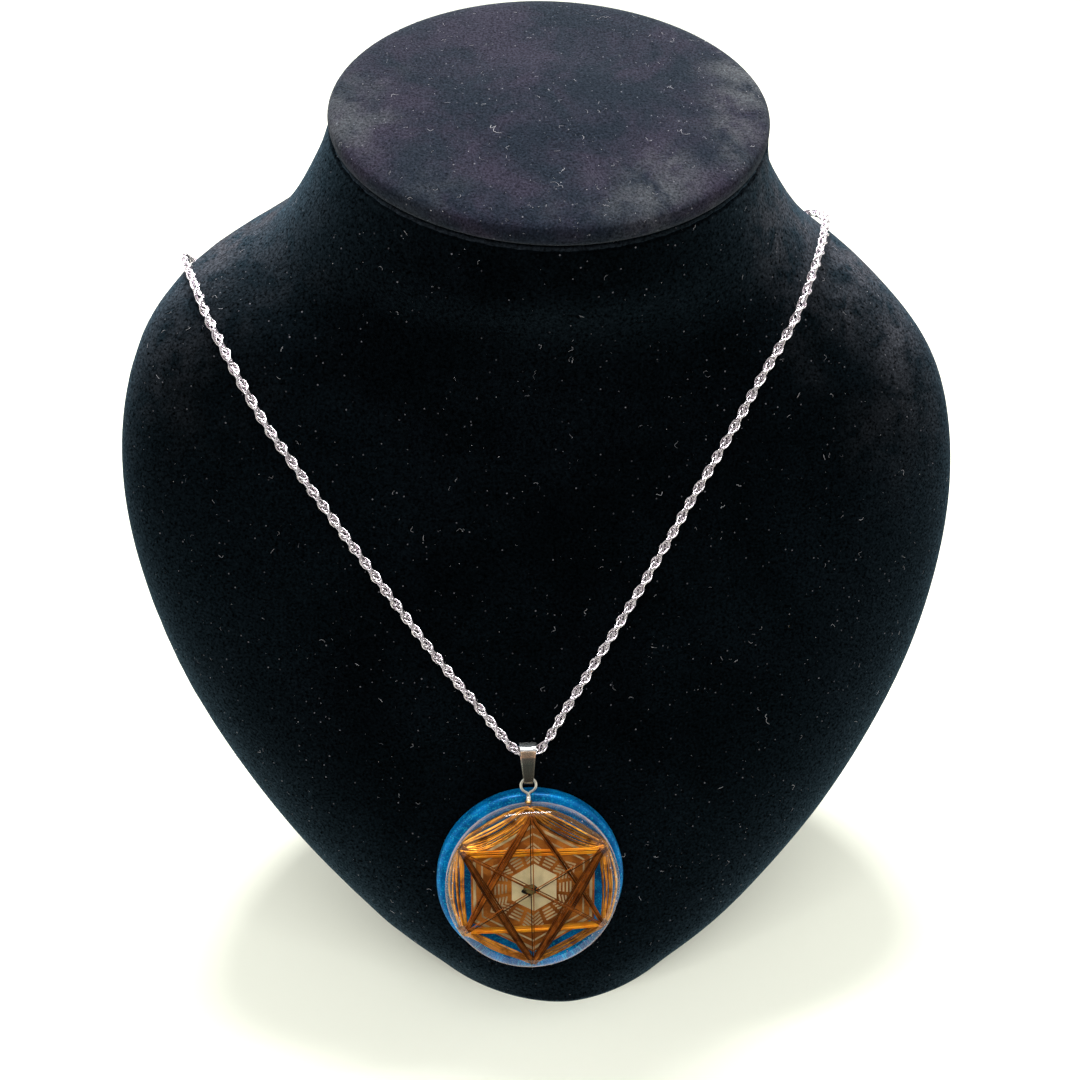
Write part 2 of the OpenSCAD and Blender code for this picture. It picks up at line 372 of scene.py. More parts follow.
velvetLook = {
    "wear": {"Scale": 170.0, "Low": 0.3, "High": 0.6}, "dust": {"Scale": 620.0, "Size": 0.13, "Share": 0.22},
    "dustColour": (0.16, 0.16, 0.18), "paintedSheenPower": 2.2}
bustLook = {
    # edge is a painted sheen colour, mixed in towards the outline
    "deep": (0.001, 0.0018, 0.0024), "lit": (0.002, 0.0034, 0.0046), "edge": (0.045, 0.075, 0.1),
    "sheen": 0.02, "sheenTint": (0.5, 0.68, 0.8), "patches": {"Scale": 22.0, "Low": 0.38, "High": 0.64},
    "nap": {"Scale": 1400.0, "Contrast": 4.5, "Height": 0.00012}, "chalkColour": (0.054, 0.057, 0.067),
    "ragged": (0.5, 90), "baseNear": 0.1,
    # dusty places on the shoulders and neck: x, y, z and radius in mm, strength
    "chalk": [
        (-82, 47, 189, 11, 1.4), (-74, 52, 193, 11, 1.1), (-92, 38, 184, 10, 1.1), (-70, 34, 195, 20, 0.3),
        (-104, 20, 171, 20, 0.25), (78, 28, 187, 17, 0.65), (88, 18, 177, 16, 0.6), (58, 18, 202, 13, 0.85),
        (106, 7, 152, 22, 0.2), (98, 2, 166, 14, 0.15)]}
# the welt's velvet colours are painted several times lighter than the bust's: a painted highlight along the
# rolled rim under the board
weltSetup = {
    "below": 0.3, "radius": 0.65, "tilt": (0, -0.391, 0.92), "spacing": 1.5, "sides": 10,
    "colours": {"deep": (0.008, 0.012, 0.015), "lit": (0.016, 0.02, 0.026)}}
capLook = {
    # edge is a painted sheen colour, mixed in towards the outline
    "deep": (0.011, 0.015, 0.023), "lit": (0.027, 0.023, 0.037), "edge": (0.05, 0.06, 0.07), "sheen": 0.05,
    "sheenTint": (0.8, 0.8, 0.9), "patches": {"Scale": 48.0, "Low": 0.38, "High": 0.64},
    "nap": {"Scale": 1800.0, "Contrast": 3.0, "Height": 0.00018}, "chalkColour": (0.08, 0.085, 0.092),
    "ragged": (0.8, 130),
    # steps of the low crown: how far the flat top is drawn in, and its rise in mm
    "crown": ((0.62, 0.72), (0.45, 0.48)),
    # worn, chalky places on the board: across and along from its middle in mm, radius and strength
    "chalk": [
        (-52, 4, 9, 0.6), (-50, -8, 8, 0.45), (52, 12, 8, 0.8), (50, 0, 9, 0.6), (46, -14, 9, 0.4),
        (22, -34, 9, 0.45), (12, -38, 8, 0.3), (-30, -32, 8, 0.15), (30, -28, 7, 0.3)]}


def velvetFinish(name, s):
    material, tree, shader = newFinish(name, {
        "Roughness": 1.0, "Specular IOR Level": 0.0, "Sheen Weight": s["sheen"], "Sheen Roughness": 0.3,
        "Sheen Tint": (*s["sheenTint"], 1)})
    patch = placeGroup(tree, clouds, s["patches"])["Mask"]
    nap = placeGroup(tree, grain, s["nap"])
    wear = placeGroup(tree, clouds, velvetLook["wear"])["Mask"]
    dust = placeGroup(tree, specks, velvetLook["dust"])["Mask"]
    colour = mixColours(tree, patch, s["deep"], s["lit"])
    # painted sheen: the colour is lightened towards the outline, where the pile catches more light seen from
    # the side
    colour = mixColours(tree, grazing(tree, velvetLook["paintedSheenPower"]), colour, s["edge"])
    worn = calculate(tree, "MULTIPLY", attributeOf(tree, "chalk"), wear)
    colour = tinted(tree, mixColours(tree, worn, colour, s["chalkColour"]), nap["Shade"])
    colour = mixColours(tree, dust, colour, velvetLook["dustColour"])
    setInputs(shader, {"Base Color": colour, "Normal": nap["Normal"]})
    return material


def nodeCopy(node):
    # a merged copy of a node of the frame, its triangles joined to quads
    bm = bmesh.new()
    bm.from_mesh(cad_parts[node].data)
    bmesh.ops.remove_doubles(bm, verts=bm.verts, dist=1e-6)
    bmesh.ops.dissolve_limit(bm, angle_limit=radians(0.05), verts=bm.verts, edges=bm.edges)
    bmesh.ops.join_triangles(bm, faces=bm.faces, angle_face_threshold=radians(40),
                             angle_shape_threshold=radians(60))
    return bm


def smoothed(piece, levels=2):
    modifier = piece.modifiers.new("smooth", "SUBSURF")
    modifier.levels = modifier.render_levels = levels
    mesh = bpy.data.meshes.new_from_object(piece.evaluated_get(bpy.context.evaluated_depsgraph_get()))
    piece.modifiers.clear()
    piece.data = mesh
    return piece


def markChalk(piece, s, measure):
    # says how dusty each point is; measure gives a point in the spots' own coordinates, in mm
    chalk = piece.data.attributes.new("chalk", "FLOAT", "POINT")
    amount, scale = s["ragged"]
    for v in piece.data.vertices:
        ragged = 1 + amount * noise.noise(v.co * scale)
        at = measure(v.co)
        dusty = sum(strength * exp(-(at - Vector(spot)).length_squared / (radius * ragged) ** 2)
                    for *spot, radius, strength in s["chalk"])
        chalk.data[v.index].value = min(dusty, 1)


def makeBust(s):
    bm = nodeCopy("bust")
    # the edge of the flat base stays sharp
    base = min(v.co.z for v in bm.verts)
    crease = bm.edges.layers.float.new("crease_edge")
    for e in bm.edges:
        if all(v.co.z - base < s["baseNear"] * mm for v in e.verts):
            e[crease] = 1.0
    piece = smoothed(finishMesh("velvetBust", bm, smooth=0))
    markChalk(piece, s, lambda co: co / mm)
    return dress(piece, velvetFinish("velvet", s), "velvet", "bust")


def makeWelt(s):
    # the rolled edge of the neck, a bead along a cut through the bust just under the board
    normal = Vector(s["tilt"]).normalized()
    bm = bmesh.new()
    bm.from_mesh(bustPiece.data)
    height = max(v.co.dot(normal) for v in bm.verts) - s["below"] * mm
    cut = cutThrough(bm, normal * height, normal, clear_outer=True, clear_inner=True)
    ring = [v.co.copy() for v in vertsIn(cut)]
    bm.free()
    middle = sum(ring, Vector()) / len(ring)
    ring.sort(key=lambda p: atan2(p.x - middle.x, middle.y - p.y))
    points = [ring[0]]
    for p in ring:
        if (p - points[-1]).length > s["spacing"] * mm:
            points.append(p)
    bm = bmesh.new()
    sweepWire(bm, points + [points[0]], s["radius"] * mm, s["sides"])
    # the lighter welt colours are a painted highlight on the same velvet
    material = velvetFinish("weltPaintedHighlightVelvet", {**bustLook, **s["colours"]})
    dress(finishMesh("neckWelt", bm, smooth=60), material, "velvet")


def makeCap(s):
    bm = nodeCopy("neck_cap")
    top = max(bm.faces, key=lambda f: f.calc_area() * (f.normal.z > 0.5))
    middle, normal = top.calc_center_median(), top.normal.copy()
    across = Vector((1, 0, 0))
    along = normal.cross(across).normalized()
    for share, rise in s["crown"]:
        top = bmesh.ops.extrude_discrete_faces(bm, faces=[top])["faces"][0]
        for v in top.verts:
            v.co = middle + (v.co - middle) * share + normal * rise * mm
    piece = smoothed(finishMesh("paddedCap", bm, smooth=0))
    markChalk(piece, s, lambda co: Vector(((co - middle).dot(across), (co - middle).dot(along))) / mm)
    return dress(piece, velvetFinish("capVelvet", s), "cap_velvet", "neck_cap")


bustPiece = makeBust(bustLook)
makeWelt(weltSetup)
capPiece = makeCap(capLook)
print("bust and cap made")


# lint and dust on the velvet

lintLook = {
    "seed": 7, "fibres": 430, "specks": 800, "capShare": 0.34, "fibreRadius": 0.03, "length": (0.3, 1.6),
    "speckSize": (0.04, 0.14), "colour": (0.5, 0.5, 0.53), "dull": (0.04, 0.045, 0.06), "fibreLift": 0.05,
    "speckLift": 0.02,
    # bend and curl of the fibres, and of the long thin hairs, one in so many
    "bends": ((0.05, 0.0), (0.3, 0.05), (0.1, 0.13), (0.2, -0.2)), "hairBends": ((0.2, 0.1), (0.1, 0.2)),
    "hairEvery": 24, "hairLength": (2, 4.5), "hairThinner": 3,
    # no lint lower than this, nor further back on the bust, in metres
    "lowest": 0.005, "back": 0.03,
    # how much more lies on what faces up, the least anywhere, and how narrow and low the specks are
    "upward": 0.8, "least": 0.05, "speckWide": (0.5, 1), "speckHigh": 0.5}


def fibreShape(bend, curl, radius, steps=10, waves=(5, 9)):
    # a bent hair 1 mm long in the XY plane
    bm = bmesh.new()
    points = []
    for k in range(steps + 1):
        t = k / steps
        x, y = t - 0.5 + curl * sin(waves[0] * t), bend * sin(pi * t) + curl * sin(waves[1] * t)
        points.append((x, y, 0))
    sweepWire(bm, points, radius, sides=4)
    return bm


def smallBall():
    bm = bmesh.new()
    bmesh.ops.create_icosphere(bm, subdivisions=1, radius=1.0)
    return bm


def makeLint(s):
    draw = random.Random(s["seed"])
    shapes = [fibreShape(bend, curl, s["fibreRadius"]) for bend, curl in s["bends"]]
    speck, hair = len(shapes), len(shapes) + 1
    shapes.append(smallBall())
    shapes += [fibreShape(bend, curl, s["fibreRadius"] / s["hairThinner"]) for bend, curl in s["hairBends"]]
    spots = []
    for piece, share in ((capPiece, s["capShare"]), (bustPiece, 1 - s["capShare"])):
        faces = [p for p in piece.data.polygons
                 if p.center.z > s["lowest"] and (p.center.y < s["back"] or piece is capPiece)]
        # most of it lies on what faces up and to the front
        weights = [p.area * max(s["least"], p.normal.z * s["upward"] - p.normal.y) for p in faces]
        count = int(share * (s["fibres"] + s["specks"]))
        spots += [(p.center.copy(), p.normal.copy()) for p in draw.choices(faces, weights, k=count)]
    draw.shuffle(spots)
    copies = []
    for number, (at, normal) in enumerate(spots):
        turn = aimed(normal) @ Matrix.Rotation(draw.uniform(0, tau), 4, "Z")
        shift = turn @ Vector((draw.uniform(-1, 1), draw.uniform(-1, 1), 0)) * mm
        if number < s["fibres"]:
            size, shape, lift = draw.uniform(*s["length"]), draw.randrange(len(s["bends"])), s["fibreLift"]
            if number % s["hairEvery"] == 0:
                size = draw.uniform(*s["hairLength"])
                shape = hair + number // s["hairEvery"] % 2
            scale = (size, size, 1)
        else:
            size, shape, lift = draw.uniform(*s["speckSize"]), speck, s["speckLift"]
            scale = (size, size * draw.uniform(*s["speckWide"]), size * s["speckHigh"])
        place = moved(at + shift + normal * lift * mm) @ turn
        copies.append((shape, place @ Matrix.Scale(mm, 4) @ Matrix.Diagonal((*scale, 1))))
    piece = joinCopies("lint", shapes, copies)
    material = patchyFinish("lint", {"Roughness": 0.9}, s["dull"], s["colour"],
                            {"Scale": 260.0, "Low": 0.35, "High": 0.6})
    dress(piece, material, "velvet")


makeLint(lintLook)
print("lint scattered")


# rope chain

# Route of the chain's middle line in mm, from the clasp round the neck, down to the pendant and back
chainRoute = [
    (7, 67.9, 159.2), (22, 67.4, 160.4), (40, 65.4, 164.2), (55, 62.9, 169.2), (65.8, 60, 175),
    (72.4, 56.2, 181), (77, 48.4, 187.8), (78.4, 38, 190), (75.6, 27.6, 190.2), (70, 14.4, 187.2),
    (61.2, 0, 176.8), (51.8, -7.6, 164), (42.6, -14.2, 150), (33.4, -20.2, 136.5), (24.4, -26, 122.6),
    (14.8, -31.8, 108), (6.4, -36.8, 96), (-0.8, -41.2, 86), (-5.6, -44.3, 79.2), (-8.6, -45.9, 76.1),
    (-11.5, -46.1, 75.5), (-14.4, -45.8, 76.2), (-17.8, -43.8, 79.6), (-23.2, -40.3, 86.2),
    (-33.4, -34.2, 98.8), (-42.2, -28.8, 111), (-50.6, -23.6, 123.2), (-58.8, -18.2, 135),
    (-66.6, -12.8, 146.4), (-73.8, -7.3, 157.2), (-80.1, -0.6, 168.3), (-86.3, 9.6, 177.7), (-91, 22, 183.2),
    (-94.8, 34, 184.1), (-95.3, 45.8, 179.2), (-85.2, 53.8, 171.8), (-68, 60, 166.4), (-49, 64.2, 162.4),
    (-27, 66.9, 159.6), (-5.4, 67.9, 158.6)]
# Links in mm: each is an oval ring, turned half way round from the last one and a little more
linkSetup = {
    "radius": 1.549, "squash": 0.557, "wire": 0.2, "offset": 0.258, "tilt": 66.3, "pitch": 0.802,
    "lobe": 4.45, "segments": 20, "sides": 7, "steps": 12,
    "steel": ((0.93, 0.89, 0.92), 0.1, (0.6, 0.53, 0.58), 900.0, 0.00001)}


def makeChain(s):
    route = [Vector(p) for p in chainRoute]
    ends = [2 * route[0] - route[1]] + route + [2 * route[-1] - route[-2]]
    fine = []
    for i in range(len(route) - 1):
        fine += [between(*ends[i:i + 4], k / s["steps"]) for k in range(s["steps"])]
    fine.append(route[-1])
    link = moved((s["offset"], 0, 0)) @ turned(s["tilt"], "X")
    copies = []
    up = (fine[1] - fine[0]).orthogonal().normalized()
    travelled, wanted = 0.0, s["pitch"]
    for a, b in zip(fine, fine[1:]):
        step = (b - a).length
        along = (b - a).normalized()
        up = (up - along * up.dot(along)).normalized()
        upright = Matrix((up, along.cross(up), along)).transposed().to_4x4()
        while travelled + step >= wanted:
            at = a + along * (wanted - travelled)
            turn = Matrix.Rotation(len(copies) * pi * (1 + s["pitch"] / s["lobe"]), 4, "Z")
            copies.append((0, Matrix.Scale(mm, 4) @ moved(at) @ upright @ turn @ link))
            wanted += s["pitch"]
        travelled += step
    oval = wireRing(s["radius"], s["wire"], s["segments"], s["sides"])
    for v in oval.verts:
        v.co.x += v.co.xy.normalized().x * s["radius"] * (s["squash"] - 1)
    piece = joinCopies("ropeLinks", [oval], copies)
    print("chain of", len(copies), "links,", round(travelled, 1), "mm")
    dress(piece, steelFinish("chainSteel", *s["steel"]), "chain_steel", "rope_chain")


makeChain(linkSetup)


# clasp, hidden behind the neck

# Rings: place in mm and turn in radians; all with the same radius, wire, segments and sides
claspSetup = {
    "bevel": 0.25, "sharp": 50, "rings": (((-5.3, 67.7, 158.6), 0.4), ((6.5, 67.7, 159.0), 0.2)),
    "ring": (1.0, 0.28, 20, 8), "steel": ((0.72, 0.71, 0.7), 0.22, (0.6, 0.6, 0.6), 300.0, 0.00001)}


def makeClasp(s):
    bm = nodeCopy("clasp")
    bevelEdges(bm, edgesOver(bm, s["sharp"]), s["bevel"] * mm, segments=3)
    piece = finishMesh("claspBody", bm)
    places = [Matrix.Scale(mm, 4) @ moved(at) @ Matrix.Rotation(turn, 4, "X")
              for at, turn in s["rings"]]
    rings = joinCopies("claspRings", [wireRing(*s["ring"])], [(0, place) for place in places])
    material = steelFinish("claspSteel", *s["steel"])
    dress(piece, material, "chain_steel", "clasp")
    dress(rings, material, "chain_steel")


makeClasp(claspSetup)
print("clasp made")


# the pendant's own frame, in mm from the middle of its back

pendantPlace = {"at": (-11.6, -56.9, 41.2), "lean": 21.5, "yaw": -1.3, "roll": -1.8}
pendantFrame = (moved(Vector(pendantPlace["at"]) * mm) @ turned(90 - pendantPlace["lean"], "X")
                @ turned(pendantPlace["yaw"], "Y") @ turned(pendantPlace["roll"], "Z") @ Matrix.Scale(mm, 4))


# bail, a bent strip that narrows downwards

bailSetup = {
    "x": -1, "topY": 36.15, "topZ": 2.75, "lowY": 30.0, "lowZ": 6.15, "topRadius": 2.65, "lowRadius": 1.15,
    "thickness": 0.5, "topWidth": 4.6, "lowWidth": 2.4, "bevel": 0.12, "sharp": 60, "lowSteps": 24,
    "topSteps": 32,
    # painted reflection and shade up the strip, a dark lower bend, a tan band and a lighter top: share of its
    # length, colour
    "tones": [
        (0.0, (0.14, 0.12, 0.09)), (0.45, (0.22, 0.23, 0.19)), (0.58, (0.34, 0.31, 0.26)),
        (0.62, (0.95, 0.64, 0.42)), (0.74, (0.9, 0.68, 0.48)), (0.77, (0.56, 0.56, 0.55)),
        (1.0, (0.45, 0.48, 0.48))]}


def bailFinish(tones):
    material, tree, shader = newFinish("bailSteel", {"Metallic": 0.8, "Roughness": 0.2})
    marks = placeGroup(tree, grain, {"Scale": 3000.0, "Contrast": 0.25, "Height": 0.000004})
    # the ramp up the strip is painted reflection and painted shade
    colour = tinted(tree, rampColour(tree, attributeOf(tree, "rise"), tones), marks["Shade"])
    setInputs(shader, {"Base Color": colour, "Normal": marks["Normal"]})
    return material


def makeBail(s):
    low, top = Vector((s["x"], s["lowY"], s["lowZ"])), Vector((s["x"], s["topY"], s["topZ"]))
    upwards = top - low
    apart = upwards.length
    wider = s["topRadius"] - s["lowRadius"]
    lean = acos(-wider / apart)
    bm = bmesh.new()
    # a small upright rectangle goes round the lower bend, up the back, round the upper bend and meets itself
    thick = s["thickness"]
    place = (Matrix.Rotation(lean, 4, "X") @ moved((0, s["lowRadius"] - thick / 2, 0))
             @ Matrix.Diagonal((1, thick, 1, 1)))
    start = bmesh.ops.create_grid(bm, x_segments=1, y_segments=1, size=0.5, matrix=place)["verts"]
    bmesh.ops.delete(bm, geom=list(start[0].link_faces), context="FACES_ONLY")
    first = ringEdges(start)
    made = bmesh.ops.spin(bm, geom=start + first, cent=(0, 0, 0), axis=(1, 0, 0),
                          angle=tau - 2 * lean, steps=s["lowSteps"])["geom_last"]
    made = bmesh.ops.extrude_edge_only(bm, edges=edgesIn(made))["geom"]
    back = (0, apart + wider * cos(lean), -wider * sin(lean))
    bmesh.ops.translate(bm, verts=vertsIn(made), vec=back)
    made = bmesh.ops.spin(bm, geom=vertsIn(made) + edgesIn(made), cent=(0, apart, 0), axis=(1, 0, 0),
                          angle=2 * lean, steps=s["topSteps"])["geom_last"]
    bmesh.ops.bridge_loops(bm, edges=first + edgesIn(made))
    reach = apart + s["topRadius"] + s["lowRadius"]
    rise = bm.verts.layers.float.new("rise")
    for v in bm.verts:
        share = (v.co.y + s["lowRadius"]) / reach
        v.co.x *= s["lowWidth"] + (s["topWidth"] - s["lowWidth"]) * share
        v[rise] = share
    bmesh.ops.recalc_face_normals(bm, faces=bm.faces)
    bevelEdges(bm, edgesOver(bm, s["sharp"]), s["bevel"], segments=2)
    tip = moved(low) @ Matrix.Rotation(atan2(upwards.z, upwards.y), 4, "X")
    piece = finishMesh("bailStrip", bm, pendantFrame @ tip)
    dress(piece, bailFinish(s["tones"]), "bail_steel", "bail")


makeBail(bailSetup)
print("bail made")


# eye pin: a bent wire loop whose ends cross and go down into the resin

# Wires: radius and sides
eyeSetup = {
    "x": -1, "y": 28.3, "z": 5.9, "radius": 2.0, "wire": (0.36, 12),
    # the loop runs from one side of the neck round the top to the other, in degrees, and rises
    "from": -74, "round": 328, "steps": 32, "rise": 0.28,
    # both ends cross at the neck: across, up from the neck, and forwards
    "neck": 25.6, "rightEnd": ((-0.25, -0.8, -0.1), (-0.1, -0.2, -0.14), (0.22, 0.35, -0.14)),
    "leftEnd": ((-0.22, 0.35, 0.2), (0.1, -0.2, 0.22), (0.25, -0.8, 0.12)), "shank": (0.5, 16),
    "shankTop": 25.1, "foot": 22.4, "thread": (0.12, 5), "threadTop": 25.0, "turns": 7, "turnSteps": 12,
    "collarTop": 24.0, "collar": ((0, 0), (0.7, 0), (0.95, 0.2), (0.95, 0.6), (0.7, 0.8), (0, 0.8)),
    "steel": ((1.0, 0.97, 0.88), 0.28, (0.9, 0.84, 0.7), 400.0, 0.000004),
    "brass": ((0.5, 0.28, 0.09), 0.35, (0.3, 0.16, 0.06), 500.0, 0.00001)}


def makeEye(s):
    bm = bmesh.new()
    loop = []
    for k in range(s["steps"] + 1):
        share = k / s["steps"]
        a = radians(s["from"] + s["round"] * share)
        loop.append((s["radius"] * cos(a), s["y"] + s["radius"] * sin(a), s["rise"] * (share - 0.5)))
    right, left = ([(x, s["neck"] + y, z) for x, y, z in s[end]] for end in ("rightEnd", "leftEnd"))
    sweepWire(bm, right + loop + left, *s["wire"])
    # shank with a fine thread round it
    sweepWire(bm, [(0, s["shankTop"], 0), (0, s["foot"], 0)], *s["shank"])
    radius, drop = s["shank"][0], s["threadTop"] - s["collarTop"]
    steps = s["turns"] * s["turnSteps"]
    thread = []
    for k in range(steps + 1):
        a = tau * s["turns"] * k / steps
        thread.append((radius * cos(a), s["threadTop"] - drop * k / steps, radius * sin(a)))
    sweepWire(bm, thread, *s["thread"])
    place = pendantFrame @ moved((s["x"], 0, s["z"]))
    dress(finishMesh("eyeWire", bm, place, smooth=50), steelFinish("eyeSteel", *s["steel"]),
          "bail_steel", "eye_pin")
    place = place @ moved((0, s["collarTop"], 0)) @ turned(90, "X")
    dress(finishMesh("eyeCollar", spinProfile(s["collar"], steps=24), place),
          steelFinish("collarBrass", *s["brass"]), "bail_steel")


makeEye(eyeSetup)
print("eye made")


# blue resin back

# Edges: how far in and up they round, in mm, and their steps
backLook = {
    "radius": 25.35, "aside": (-0.35, 0, 0), "low": 0, "high": 4.8, "lowRings": (0, 8, 16, 21),
    "lowEdge": (1.2, 1.2, 6), "highEdge": (1.6, 1.6, 9), "highRings": (21.5, 16, 8, 0),
    "deep": (0.0, 0.09, 0.28), "bright": (0.0, 0.2, 0.56), "glint": (0.03, 0.75, 1.0), "glintShare": 0.4}


def blueFinish(s):
    material, tree, shader = newFinish("blueResin", {
        "Metallic": 0.2, "Roughness": 0.35, "Specular IOR Level": 0.05, "Coat Weight": 0.12,
        "Coat Roughness": 0.06})
    swirl = placeGroup(tree, clouds, {"Scale": 120.0, "Low": 0.35, "High": 0.65})["Mask"]
    flakes = placeGroup(tree, specks, {"Scale": 2600.0, "Size": 0.55, "Share": 0.45})["Mask"]
    shimmer = placeGroup(tree, grain, {"Scale": 3500.0, "Contrast": 0.9, "Height": 0.00002})
    colour = tinted(tree, mixColours(tree, swirl, s["deep"], s["bright"]), shimmer["Shade"])
    colour = mixColours(tree, calculate(tree, "MULTIPLY", flakes, s["glintShare"]), colour, s["glint"])
    setInputs(shader, {"Base Color": colour, "Normal": shimmer["Normal"]})
    return material


def castDisc(name, s, smooth=35):
    # a round disc of resin, flat below and above, with rounded edges
    radius, low, high = s["radius"], s["low"], s["high"]
    profile = [(ring, low) for ring in s["lowRings"]]
    wide, rise, steps = s["lowEdge"]
    profile += roundCorner(radius - wide, low + rise, wide, rise, -90, steps)
    wide, rise, steps = s["highEdge"]
    profile += roundCorner(radius - wide, high - rise, wide, rise, 0, steps)
    profile += [(ring, high) for ring in s["highRings"]]
    place = pendantFrame @ moved(s["aside"])
    return finishMesh(name, spinProfile(profile, steps=160), place, smooth)


dress(castDisc("blueBack", backLook), blueFinish(backLook), "blue_resin", "resin_back")


# clear resin front, cast round the windings

frontLook = {
    "radius": 23.35, "aside": (0.05, -0.2, 0), "low": 4.79, "high": 10.8, "lowRings": (0, 12),
    "lowEdge": (0.3, 0.3, 1), "highEdge": (3.5, 3.0, 16), "highRings": (14, 7, 0),
    # rim, rimPower and rimShare paint a pinkish highlight round the steep rim
    "tint": (0.97, 0.985, 0.99), "rim": (0.95, 0.76, 0.68), "rimPower": 4.5, "rimShare": 0.85}
# Size, ring and height in mm; spread is in radians, and every so many bubbles one lies anywhere
bubbleSetup = {
    "count": 90, "seed": 3, "size": (0.05, 0.19), "ring": (20.6, 22.6), "height": (7.6, 9.4), "spread": 0.5,
    "strayEvery": 5, "colour": (0.75, 0.8, 0.85), "fleck": (0.5, 0.3, 0.2)}


def clearFinish(s):
    material, tree, shader = newFinish("clearResin", {
        "Roughness": 0.015, "Transmission Weight": 1.0, "IOR": 1.5, "Base Color": (*s["tint"], 1)})
    ripple = placeGroup(tree, grain, {"Scale": 160.0, "Height": 0.00004})
    setInputs(shader, {"Normal": ripple["Normal"]})
    # painted highlight: a pinkish diffuse rim, mixed in where the steep rim is seen from the side
    share = calculate(tree, "MULTIPLY", grazing(tree, s["rimPower"]), s["rimShare"])
    paintedRimHighlight = addNode(tree, "BsdfDiffuse", {"Color": (*s["rim"], 1)}).outputs[0]
    rimmed = mixShaders(tree, share, shader.outputs[0], paintedRimHighlight)
    # lamps shine through to what is cast inside
    shadow = addNode(tree, "LightPath", {}).outputs["Is Shadow Ray"]
    clear = addNode(tree, "BsdfTransparent", {}).outputs[0]
    setInputs(tree.nodes["Material Output"], {"Surface": mixShaders(tree, shadow, rimmed, clear)})
    return material


def makeBubbles(s):
    # small bubbles and flecks near the rim, most of them at the left and the right
    draw = random.Random(s["seed"])
    copies = []
    for k in range(s["count"]):
        a = draw.gauss(0, s["spread"]) + pi * (k % 2)
        if k % s["strayEvery"] == 0:
            a = draw.uniform(0, tau)
        out = draw.uniform(*s["ring"])
        at = moved((out * cos(a), out * sin(a), draw.uniform(*s["height"])))
        copies.append((0, pendantFrame @ at @ Matrix.Scale(draw.uniform(*s["size"]), 4)))
    material = patchyFinish("bubble", {"Roughness": 0.2}, s["colour"], s["fleck"],
                            {"Scale": 900.0, "Low": 0.35, "High": 0.65})
    dress(joinCopies("bubbles", [smallBall()], copies), material, "clear_resin")


dress(castDisc("clearFront", frontLook, smooth=60), clearFinish(frontLook), "clear_resin", "resin_front")
makeBubbles(bubbleSetup)
print("resin made")


# patterned plate

# Hexagons: radius, and width against the other lines. Rows of stripes: turn, number, height of the first,
# step, half width of the first, growth, and how far back the ends lie for each half width
plateLook = {
    "radius": 19.0, "low": 6.0, "high": 7.1, "bevel": 0.12, "lineHigh": 7.18, "sunk": 0.05, "lineWidth": 0.46,
    "middle": 6.9, "middleAt": (0.3, 0.1), "hexagons": ((17.9, 1.6), (15.6, 1.0)),
    "rows": ((0, 5, 8.5, 1.1, 1.6, 0.3, 0.87), (30, 4, 7.2, 0.95, 1.2, 0.15, 0)),
    "brown": (0.46, 0.15, 0.018), "umber": (0.25, 0.07, 0.008), "cream": (0.58, 0.43, 0.22),
    "worn": (0.27, 0.19, 0.09), "pale": (0.72, 0.6, 0.34), "stained": (0.58, 0.48, 0.26)}


def reliefLine(bm, points, width, low, high, closed=False, mitre=0.4):
    # a flat raised line along the points, with mitred corners up to a limit
    points = [Vector((p[0], p[1], 0)) for p in points]
    count = len(points)
    left, right = [], []
    for i, p in enumerate(points):
        before = points[i - 1] if i or closed else p
        after = points[(i + 1) % count] if i < count - 1 or closed else p
        a = (p - before).normalized() if before != p else (after - p).normalized()
        b = (after - p).normalized() if after != p else a
        way = (a + b).normalized()
        across = Vector((-way.y, way.x, 0)) * width / 2 / max(mitre, way.dot(a))
        lifted = Vector((p.x, p.y, low))
        left.append(bm.verts.new(lifted + across))
        right.append(bm.verts.new(lifted - across))
    faces = []
    for i in range(count if closed else count - 1):
        j = (i + 1) % count
        faces.append(bm.faces.new((left[i], right[i], right[j], left[j])))
    raiseFaces(bm, faces, high - low)


def hexBoard(radius, x, y, low, high):
    bm = bmesh.new()
    place = moved((x, y, low))
    bmesh.ops.create_circle(bm, cap_ends=True, segments=6, radius=radius, matrix=place)
    raiseFaces(bm, bm.faces[:], high - low)
    return bm


def plateLines(s, low, high):
    # two hexagons, and rows of nested chevrons and short bars in turn
    bm = bmesh.new()
    for radius, wide in s["hexagons"]:
        points = [turned(60 * side, "Z") @ Vector((0, radius, 0)) for side in range(6)]
        reliefLine(bm, points, s["lineWidth"] * wide, low, high, closed=True)
    for side in range(6):
        for angle, count, first, apart, narrow, wider, drop in s["rows"]:
            turn = turned(60 * side + angle, "Z")
            for step in range(count):
                y, half = first + apart * step, narrow + wider * step
                points = [(-half, y - drop * half, 0), (0, y, 0), (half, y - drop * half, 0)]
                if not drop:
                    points.pop(1)
                reliefLine(bm, [turn @ Vector(p) for p in points], s["lineWidth"], low, high)
    return bm


